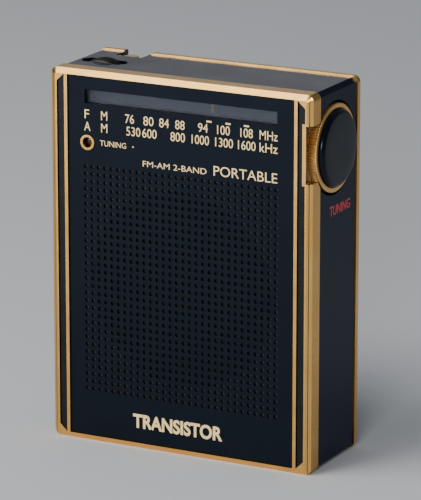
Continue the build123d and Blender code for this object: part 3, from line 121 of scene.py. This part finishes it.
def finish(name, colour, rough=None, bump=None, edge_mm=0.0, level=0.5, tint=(1.0, 1.0, 1.0), **sockets):
    """A material with mottled colour, wandering roughness, fine grain and, where asked, rounded edges.

    Colour is a patch size and two shades, rough is a patch size and two values, and bump is a
    grain size and height; all sizes are in mm. Level and tint set the clear reflection.
    """
    material, tree, surface, place = new_material(name, **sockets)
    surface.inputs["Specular IOR Level"].default_value = level
    surface.inputs["Specular Tint"].default_value = (*tint, 1.0)
    tree.links.new(mottled(tree, place, *colour), surface.inputs["Base Color"])
    if rough:
        tree.links.new(spread(tree, place, *rough), surface.inputs["Roughness"])
    if bump:
        rounded = soft_edge(tree, edge_mm) if edge_mm else None
        tree.links.new(grain(tree, place, *bump, rounded), surface.inputs["Normal"])
    return material


def gold_plate(name, dark="DCA452", light="EFC074", low=0.2, high=0.3):
    """Vacuum-plated satin gold: metallic, warm, with a soft broad highlight and faint patches."""
    return finish(name, (9, dark, light), (4, low, high), (0.4, 0.0015), Metallic=1.0)


def reckon(tree, operation, *values):
    """Result of one arithmetic node."""
    return add(tree, "ShaderNodeMath", dict(enumerate(values)), operation=operation).outputs[0]


def axes_of(material):
    """A material's node tree, with the X, Y and Z of its object coordinates."""
    tree = material.node_tree
    place = tree.nodes["Texture Coordinate"].outputs["Object"]
    return tree, add(tree, "ShaderNodeSeparateXYZ", {"Vector": place}).outputs


def recolour(material, mask, shade):
    """Gives a finish another colour wherever the mask is one."""
    tree = material.node_tree
    base = tree.nodes["Principled BSDF"].inputs["Base Color"]
    cover = add(tree, "ShaderNodeMix", {0: mask, 6: base.links[0].from_socket, 7: linear(shade)},
                data_type="RGBA")
    tree.links.new(cover.outputs[2], base)


def plate_with_painted_notch_shade(name, wall_x, middle_z, reach_z, front_y):
    """Gold plate with one upright wall, behind a given depth, painted near black as shade, since that wall
    lies in the notch's shadow.
    """
    material = gold_plate(name)
    tree, axes = axes_of(material)
    behind = reckon(tree, "GREATER_THAN", axes["Y"], front_y * MM)
    on_wall = reckon(tree, "COMPARE", axes["X"], wall_x * MM, SHADE_WALL_DEPTH * MM)
    in_notch = reckon(tree, "COMPARE", axes["Z"], middle_z * MM, reach_z * MM)
    painted_shade = reckon(tree, "MULTIPLY", reckon(tree, "MULTIPLY", on_wall, behind), in_notch)
    # Painted shade: the notch wall is coloured near black and made non-metallic where it lies in shadow.
    recolour(material, painted_shade, "0A0A0C")
    metal = reckon(tree, "SUBTRACT", 1.0, painted_shade)
    tree.links.new(metal, tree.nodes["Principled BSDF"].inputs["Metallic"])
    return material


SHADE_WALL_DEPTH = 0.12
KNOB_NOTCH_X = 31.8
KNOB_NOTCH_Z = 74.4
KNOB_NOTCH_REACH = 6.55
LIP_BACK_Y = -12.35
LIP_EDGE_X = 32.55
GROOVE_SHADE_REACH = 0.08
MAST_NOTCH_X = -26.7
MAST_NOTCH_Z = 84.5
MAST_NOTCH_REACH = 3.6

# The knob notch's upright wall gets painted shade.
front_gold = plate_with_painted_notch_shade("champagne_gold_plate_notch_shade", KNOB_NOTCH_X, KNOB_NOTCH_Z, KNOB_NOTCH_REACH,
                          LIP_BACK_Y)
# A fine dark line of painted shade, standing for the shadow in a groove, parts the flat lip from each slanted
# flank.
tree, axes = axes_of(front_gold)
sideways = reckon(tree, "ABSOLUTE", axes["X"])
recolour(front_gold, reckon(tree, "COMPARE", sideways, LIP_EDGE_X * MM, GROOVE_SHADE_REACH * MM), "6B4A22")
dress(front_gold, "front_bezel")
# The mast notch's upright wall gets painted shade.
rear_gold = plate_with_painted_notch_shade("champagne_gold_plate_rear", MAST_NOTCH_X, MAST_NOTCH_Z, MAST_NOTCH_REACH, 0.0)
dress(rear_gold, "rear_frame")

# ---- Perforated front panel ------------------------------------------------------------------
# Thin aluminium sheet, punched with the grille holes and the dial slot, etched to a fine
# satin and anodised black, then screen printed in cream gold.
# Its faint blue base colour and the blue tint of its clear reflection are painted reflection of a blue
# surround.
panel_black = finish("anodised_black_aluminium_painted_blue_reflection", (14, "04060B", "070A11"), (6, 0.38, 0.50), (0.18, 0.006),
                     0.08, level=0.2, tint=(0.55, 0.72, 1.0), IOR=1.45)
dress(panel_black, "front_panel")

PANEL_FACE_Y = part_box("front_panel")[0][1]
INK_THICK = 0.03 * MM


def printed(name, words, left, right, low, high, ink, body, face="front", bold=0.0, lean=0.0,
            raised=INK_THICK, plane=None):
    """Lettering fitted to a box on a face: the font's outline, scaled to the box, given a thin thickness."""
    curve = bpy.data.curves.new(name, "FONT")
    curve.body = words
    curve.resolution_u = 6
    curve.offset = bold
    curve.extrude = 0.5
    curve.shear = lean
    holder = bpy.data.objects.new(name + "_outline", curve)
    bpy.context.collection.objects.link(holder)
    mesh = bpy.data.meshes.new_from_object(holder.evaluated_get(bpy.context.evaluated_depsgraph_get()))
    bpy.data.objects.remove(holder)
    flat = np.empty(len(mesh.vertices) * 3)
    mesh.vertices.foreach_get("co", flat)
    flat = flat.reshape(-1, 3)
    across = (flat[:, 0] - flat[:, 0].min()) / np.ptp(flat[:, 0]) * (right - left) + left
    up = (flat[:, 1] - flat[:, 1].min()) / np.ptp(flat[:, 1]) * (high - low) + low
    out = flat[:, 2] + 0.5
    if face == "front":
        points = np.stack([across * MM, PANEL_FACE_Y - out * raised, up * MM], axis=1)
    else:
        points = np.stack([plane + out * raised, across * MM, up * MM], axis=1)
    mesh.vertices.foreach_set("co", points.ravel())
    mesh.name = name
    mesh.materials.clear()
    mesh.materials.append(ink)
    piece = bpy.data.objects.new(name, mesh)
    bpy.context.collection.objects.link(piece)
    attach(piece, body)
    return piece


cream_ink = finish("screen_ink_cream_gold", (0.5, "F4D08E", "FFE2A8"), (0.8, 0.42, 0.6))

FM_ROW = [("F", -24.55, -23.35), ("M", -20.25, -18.65), ("76", -14.0, -11.7), ("80", -9.3, -6.7),
          ("84", -5.25, -2.75), ("88", -1.15, 1.25), ("94", 4.65, 7.15), ("100", 9.5, 12.7),
          ("108", 15.35, 18.45), ("MHz", 20.15, 24.65)]
AM_ROW = [("A", -24.65, -23.05), ("M", -20.25, -18.65), ("530", -13.7, -10.1), ("600", -9.6, -5.9),
          ("800", -2.35, 1.35), ("1000", 3.05, 7.45), ("1300", 9.0, 13.5), ("1600", 14.75, 19.15),
          ("kHz", 20.15, 24.65)]
for row, low, high, label in ((FM_ROW, 76.75, 78.85, "fm"), (AM_ROW, 73.9, 76.0, "am")):
    for number, (words, left, right) in enumerate(row):
        printed(f"print_{label}_{number}", words, left, right, low, high, cream_ink, "case",
                bold=0.002)
SMALL_PRINT = [("tuning", "TUNING", -20.6, -13.8, 70.75, 72.05),
               ("bands", "FM-AM 2-BAND", -9.5, 6.8, 67.15, 68.5),
               ("portable", "PORTABLE", 8.6, 24.6, 67.1, 69.4)]
for label, words, left, right, low, high in SMALL_PRINT:
    printed(f"print_{label}", words, left, right, low, high, cream_ink, "case")
for number, (left, right) in enumerate(((6.8, 8.1), (11.6, 12.9), (16.2, 17.5))):
    printed(f"print_mark_{number}", "-", left, right, 79.2, 79.6, cream_ink, "case")
printed("print_dot", ".", -12.2, -11.85, 71.2, 71.55, cream_ink, "case")
printed("name_letters", "TRANSISTOR", -12.3, 10.9, 4.8, 8.2, cream_ink, "case", bold=0.03,
        raised=0.16 * MM)

# ---- Inlay bars ------------------------------------------------------------------------------
# Two narrow strips of gloss black lacquered sheet, bedded in the bezel outside its ribs.
inlay_black = finish("lacquered_black_inlay", (10, "0B0C0F", "101216"), (3, 0.22, 0.36), (1.2, 0.004), 0.06,
                     level=0.25, IOR=1.48)
dress(inlay_black, "inlay_left", "inlay_right")

# ---- Dial window, scale plate and pointer ----------------------------------------------------
# A strip of clear acrylic at the bottom of a deep slot, a grey-blue painted plate behind it,
# and an orange-gold lacquered needle that runs between the two.
acrylic = finish("smoked_acrylic", (20, "484E5A", "525864"), bump=(6, 0.003), IOR=1.49, Alpha=0.5,
                 Roughness=0.06)
dress(acrylic, "dial_window")
plate_paint = finish("painted_scale_plate", (12, "4A4E58", "565B66"), bump=(0.3, 0.006), Roughness=0.4)
dress(plate_paint, "dial_scale_plate")
needle_lacquer = finish("lacquered_needle", (1.5, "F0B070", "FFC890"), bump=(0.2, 0.004), Roughness=0.35)
dress(needle_lacquer, "dial_pointer")

# ---- Tuning lamp in its ring -----------------------------------------------------------------
# A dark amber tinted lens, unlit, pressed into a turned ring with the bezel's plating.
lamp_resin = finish("tinted_amber_resin", (1.2, "1E0F02", "3A1E05"), bump=(0.5, 0.003), Roughness=0.12,
                    IOR=1.5)
dress(lamp_resin, "tuning_lamp")
dress(gold_plate("champagne_gold_plate"), "lamp_ring")

# ---- Tuning knob -----------------------------------------------------------------------------
# A zinc die-cast ring, knurled on its rim and gold plated, with a moulded gloss black cap
# pressed into its face. It turns with the dial drum.
ring_low, ring_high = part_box("knob_ring")
cap_low, cap_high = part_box("knob_cap")
KNOB_CENTRE_Y = (ring_low[1] + ring_high[1]) / 2
KNOB_CENTRE_Z = (ring_low[2] + ring_high[2]) / 2
GRIP_R = (ring_high[1] - ring_low[1]) / 2
KNURL_TEETH = 96
KNURL_STEPS = 8
KNURL_DEPTH = 0.28 * MM
CAP_R = (cap_high[1] - cap_low[1]) / 2
GRIP_THICK = 2.1 * MM


def turned(name, axis, centre, profile, material, body, steps, ripple=None, closed=True):
    """Surface of a profile (height along the axis, radius, ripple share) turned round an axis.

    A point is at radius r cos a and r sin a on the two axes across, where r is the profile's
    radius less the ripple's depth at the angle a, times the profile's share.
    """
    profile = np.array(profile)
    angle = np.linspace(0, 2 * math.pi, steps, endpoint=False)
    cut = ripple(angle) if ripple else np.zeros(steps)
    radius = profile[None, :, 1] - cut[:, None] * profile[None, :, 2]
    along_axis = np.broadcast_to(profile[None, :, 0], radius.shape)
    sine, cosine = np.sin(angle)[:, None], np.cos(angle)[:, None]
    if axis == "x":
        order = [along_axis, centre[0] + radius * cosine, centre[1] + radius * sine]
    else:
        order = [centre[0] + radius * sine, along_axis, centre[1] + radius * cosine]
    rows = profile.shape[0]
    points = np.stack(order, axis=2).reshape(-1, 3)
    around = np.arange(steps)
    along = np.arange(rows if closed else rows - 1)
    here, there = np.meshgrid(around, along, indexing="ij")
    next_angle, next_row = (here + 1) % steps, (there + 1) % rows
    corners = [here * rows + there, here * rows + next_row,
               next_angle * rows + next_row, next_angle * rows + there]
    faces = np.stack(corners, axis=2).reshape(-1, 4).tolist()
    if not closed:
        faces.append([int(i * rows + rows - 1) for i in around])
        faces.append([int(i * rows) for i in around[::-1]])
    mesh = bpy.data.meshes.new(name)
    mesh.from_pydata(points.tolist(), [], faces)
    mesh.materials.append(material)
    mesh.update()
    piece = bpy.data.objects.new(name, mesh)
    bpy.context.collection.objects.link(piece)
    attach(piece, body)
    return piece


def round_corner(x, radius, size, start, stop, share, count=5):
    """Points of a quarter-round of the given size about (x, radius), between two angles in degrees."""
    turns = np.radians(np.linspace(start, stop, count))
    return [(x + size * math.cos(t), radius + size * math.sin(t), share) for t in turns]


grip_gold = gold_plate("knurled_gold_plate", "E8B264", "FBD08A", 0.34, 0.42)
front_x = ring_high[0]
rear_x = front_x - GRIP_THICK
EDGE = 0.22 * MM
BORE_R = 2.05 * MM
profile = round_corner(front_x - EDGE, GRIP_R - EDGE, EDGE, 0, 90, 0.4)
profile += [(front_x - 2.2 * EDGE, GRIP_R, 1.0), (rear_x + EDGE, GRIP_R, 1.0)]
profile += round_corner(rear_x + EDGE, GRIP_R - EDGE, EDGE, 90, 180, 0.8)
profile += [(rear_x, BORE_R, 0), (front_x - 1.2 * MM, BORE_R, 0), (front_x - 1.2 * MM, CAP_R + 0.1 * MM, 0),
            (front_x - 0.15 * MM, CAP_R + 0.1 * MM, 0), (front_x, CAP_R + 0.25 * MM, 0)]


def knurl(angle):
    """Rounded teeth: depth times the half-cosine of the tooth count times the angle."""
    return KNURL_DEPTH * (0.5 - 0.5 * np.cos(KNURL_TEETH * angle)) ** 0.8


KNOB_CENTRE = (KNOB_CENTRE_Y, KNOB_CENTRE_Z)
grip = turned("knob_grip", "x", KNOB_CENTRE, profile, grip_gold, "knob",
              KNURL_TEETH * KNURL_STEPS, knurl)
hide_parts("knob_ring")

# The blue tint of its clear reflection is painted reflection of a blue surround.
cap_gloss = finish("moulded_gloss_black_cap_painted_blue_reflection", (15, "06070A", "090B10"), (5, 0.16, 0.26), (2.5, 0.004),
                   level=0.3, tint=(0.5, 0.68, 1.0), IOR=1.49)
CAP_EDGE = 1.05 * MM
base_x = front_x - 1.15 * MM
profile = [(base_x, 0.02 * MM, 0), (base_x, CAP_R, 0), (cap_high[0] - CAP_EDGE, CAP_R, 0)]
profile += round_corner(cap_high[0] - CAP_EDGE, CAP_R - CAP_EDGE, CAP_EDGE, 90, 0, 0, 10)
profile += [(cap_high[0], CAP_R * 0.5, 0), (cap_high[0], 0.02 * MM, 0)]
cap = turned("knob_dome", "x", KNOB_CENTRE, profile, cap_gloss, "knob", 160, closed=False)
for polygon in cap.data.polygons:
    polygon.use_smooth = len(polygon.vertices) == 4
cap.data.update()
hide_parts("knob_cap")

# ---- Case body -------------------------------------------------------------------------------
# Injection-moulded ABS from a polished tool: gloss black with faint flow ripples and soft edges.
# Its navy base colour and the blue tint of its clear reflection are painted reflection of a blue surround.
case_gloss = finish("moulded_gloss_black_abs_painted_blue_reflection", (22, "02081A", "030B22"), (9, 0.1, 0.18), (5, 0.004), 0.12,
                    level=0.16, tint=(0.2, 0.42, 1.0), IOR=1.5)
dress(case_gloss, "body_shell")
red_ink = finish("screen_ink_red", (0.5, "DC3A40", "F04A4C"), (0.8, 0.4, 0.6))
printed("print_side_word", "TUNING", -2.6, 7.8, 58.2, 60.5, red_ink, "case", face="side",
        bold=0.012, lean=0.06, plane=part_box("body_shell")[1][0])

# ---- Volume thumbwheel -----------------------------------------------------------------------
# Moulded black wheel with coarse teeth on its rim, left matt so that a thumb grips it.
wheel_matt = finish("moulded_matt_black_wheel", (3, "2C2A28", "3A3835"), (1.5, 0.3, 0.42), (0.25, 0.01), 0.06)
dress(wheel_matt, "band_slider")
wheel_low, wheel_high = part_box("volume_wheel")
WHEEL_R = (wheel_high[0] - wheel_low[0]) / 2
WHEEL_CENTRE = ((wheel_high[0] + wheel_low[0]) / 2, (wheel_high[2] + wheel_low[2]) / 2)
WHEEL_TEETH = 60
TOOTH_STEPS = 8
TOOTH_DEPTH = 0.45 * MM
WHEEL_BORE_R = 1.6 * MM
WHEEL_EDGE = 0.25 * MM
WHEEL_DISH = 1.2 * MM
WHEEL_RIM = 1.4 * MM
front_y, back_y = wheel_low[1], wheel_high[1]
profile = [(front_y + WHEEL_DISH, WHEEL_BORE_R, 0), (front_y + WHEEL_DISH, WHEEL_R - WHEEL_RIM, 0),
           (front_y, WHEEL_R - WHEEL_RIM, 0), (front_y, WHEEL_R - WHEEL_EDGE, 0.2),
           (front_y + WHEEL_EDGE, WHEEL_R, 1), (back_y - WHEEL_EDGE, WHEEL_R, 1),
           (back_y, WHEEL_R - WHEEL_EDGE, 0.2), (back_y, WHEEL_BORE_R, 0)]


def wheel_teeth(angle):
    """Rounded teeth: depth times the half-cosine of the tooth count times the angle."""
    return TOOTH_DEPTH * (0.5 - 0.5 * np.cos(WHEEL_TEETH * angle)) ** 0.7


rim = turned("volume_rim", "y", WHEEL_CENTRE, profile, wheel_matt, "volume",
             WHEEL_TEETH * TOOTH_STEPS, wheel_teeth)
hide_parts("volume_wheel")

# ---- Back cover and battery door -------------------------------------------------------------
# ABS from a spark-eroded tool, so the surface has a fine even texture; plated steel screws.
back_abs = finish("textured_black_abs", (16, "101114", "16181C"), (4, 0.42, 0.58), (0.3, 0.02), 0.1)
dress(back_abs, "back_cover", "battery_door", "battery_tray", "front_frame")
screw_steel = finish("zinc_plated_steel", (1, "A8ABAF", "C2C4C6"), (0.6, 0.25, 0.42), (0.12, 0.005),
                     Metallic=1.0)
dress(screw_steel, "case_screws", "board_screws", "knob_screw", "volume_screw", "pulley_clips",
      "contact_plates", "contact_spring_lower", "contact_spring_upper", "speaker_basket", "tuning_cans",
      "capacitor_bracket", "mast_clamps")

# ---- Rod antenna -----------------------------------------------------------------------------
# Drawn brass tubes, chromed, sliding in one another; the tip is a turned button in gold plate.
chrome = finish("chromed_brass_tube", (4, "C9CCD0", "DADCDF"), (2, 0.08, 0.16), (0.2, 0.001), Metallic=1.0)
dress(chrome, "mast_outer_tube", "mast_section_lower", "mast_section_middle")
TIP_BUTTON_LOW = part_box("mast_tip_rod")[1][2] - 1.6 * MM
tip_plate = gold_plate("chrome_rod_with_gold_button", low=0.12, high=0.2)
tree, axes = axes_of(tip_plate)
recolour(tip_plate, reckon(tree, "LESS_THAN", axes["Z"], TIP_BUTTON_LOW), "D3D5D8")
dress(tip_plate, "mast_tip_rod")

# ---- Inner pieces ----------------------------------------------------------------------------
# The board, its parts, the loudspeaker, the ferrite bar and the cells, each in its own stock.
INNER = [
    ("laminate_board", "2E5A38", "3A6B45", 0.5, 0.6, 0.0, ["circuit_board"]),
    ("black_inner_plastic", "131417", "1B1D20", 0.5, 0.6, 0.0,
     ["volume_pot", "electrolytics", "amplifier_chip", "ferrite_clips", "band_switch", "earphone_socket",
      "tuning_capacitor", "dial_drum"]),
    ("turned_brass", "B08A45", "C79F58", 0.25, 0.4, 1.0,
     ["cord_pulley_1", "cord_pulley_2", "cord_pulley_3", "cord_pulley_4", "tuning_shaft", "volume_shaft",
      "board_posts"]),
    ("waxed_dial_cord", "B5AC94", "CBC3AC", 0.7, 0.85, 0.0, ["dial_cord"]),
    ("black_dust_cloth", "07070A", "0D0D10", 0.85, 0.95, 0.0, ["grille_screen"]),
    ("treated_paper_cone", "15120F", "201C18", 0.75, 0.9, 0.0, ["speaker_cone"]),
    ("sintered_ferrite", "26262A", "323236", 0.45, 0.6, 0.0, ["speaker_magnet", "ferrite_bar"]),
    ("enamelled_copper", "8E4A26", "A85C32", 0.3, 0.45, 0.6, ["speaker_coil", "ferrite_coil"]),
    ("lacquered_cell_can", "4A443A", "5A5346", 0.3, 0.45, 0.3, ["cell_lower", "cell_upper"]),
]
for name, dark, light, low, high, metal, nodes in INNER:
    dress(finish(name, (2.5, dark, light), (1.2, low, high), (0.3, 0.01), Metallic=metal), *nodes)

# ---- Studio ----------------------------------------------------------------------------------
# A plain pale sweep of paper, four soft boxes and the camera.
def sweep_floor():
    """Floor that turns up into a backdrop: z = 0 up to y = 3, then a quarter round of 1.5 m, then upright."""
    flat = np.linspace(-6.0, 3.0, 8)
    turn = np.radians(np.linspace(0, 90, 24))[1:]
    y = np.concatenate([flat, 3.0 + 1.5 * np.sin(turn), [4.5]])
    z = np.concatenate([np.zeros(8), 1.5 - 1.5 * np.cos(turn), [5.0]])
    x = np.array([-6.0, 6.0])
    points = [(a, b, c) for b, c in zip(y, z) for a in x]
    faces = [(2 * i, 2 * i + 1, 2 * i + 3, 2 * i + 2) for i in range(len(y) - 1)]
    mesh = bpy.data.meshes.new("floor")
    mesh.from_pydata(points, [], faces)
    for polygon in mesh.polygons:
        polygon.use_smooth = True
    return mesh


floor = bpy.data.objects.new("floor", sweep_floor())
bpy.context.collection.objects.link(floor)
floor_paper, tree, surface, place = new_material("pale_backdrop_paper", Roughness=0.9)
tree.links.new(mottled(tree, place, 400, "D9DBDE", "DEE0E2"), surface.inputs["Base Color"])
floor.data.materials.append(floor_paper)

world = bpy.data.worlds.new("studio")
bpy.context.scene.world = world
world.use_nodes = True
world.node_tree.nodes["Background"].inputs["Color"].default_value = linear("C8CDD4")
world.node_tree.nodes["Background"].inputs["Strength"].default_value = 0.34


def soft_box(name, place, aim, size, power):
    """A rectangular area light that faces the aim point."""
    light = bpy.data.lights.new(name, "AREA")
    light.shape = "RECTANGLE"
    light.size, light.size_y = size
    light.energy = power
    lamp = bpy.data.objects.new(name, light)
    bpy.context.collection.objects.link(lamp)
    away = np.array(place) - np.array(aim)
    lamp.location = place
    lamp.rotation_euler = mathutils.Vector(away).to_track_quat("Z", "Y").to_euler()
    return lamp


AIM = (0.0, 0.0, 0.045)
soft_box("key", (-0.4, -0.5, 0.8), AIM, (0.7, 0.6), 5.5)
soft_box("front", (0.3, -0.95, 0.35), AIM, (0.3, 0.3), 4.0)
soft_box("left", (-0.5, -0.85, 0.2), AIM, (0.4, 0.36), 4.5)
soft_box("back", (-0.4, 0.85, 0.4), AIM, (0.9, 0.25), 0.3)

camera_data = bpy.data.cameras.new("camera")
camera = bpy.data.objects.new("camera", camera_data)
bpy.context.collection.objects.link(camera)
camera_data.sensor_width = 36.0
camera_data.lens = 268.69
camera_data.clip_start = 0.05
camera.location = (0.3861, -0.7311, 0.2694)
camera.rotation_euler = (math.radians(90 - 15.13), 0, math.radians(27.75))
bpy.context.scene.camera = camera
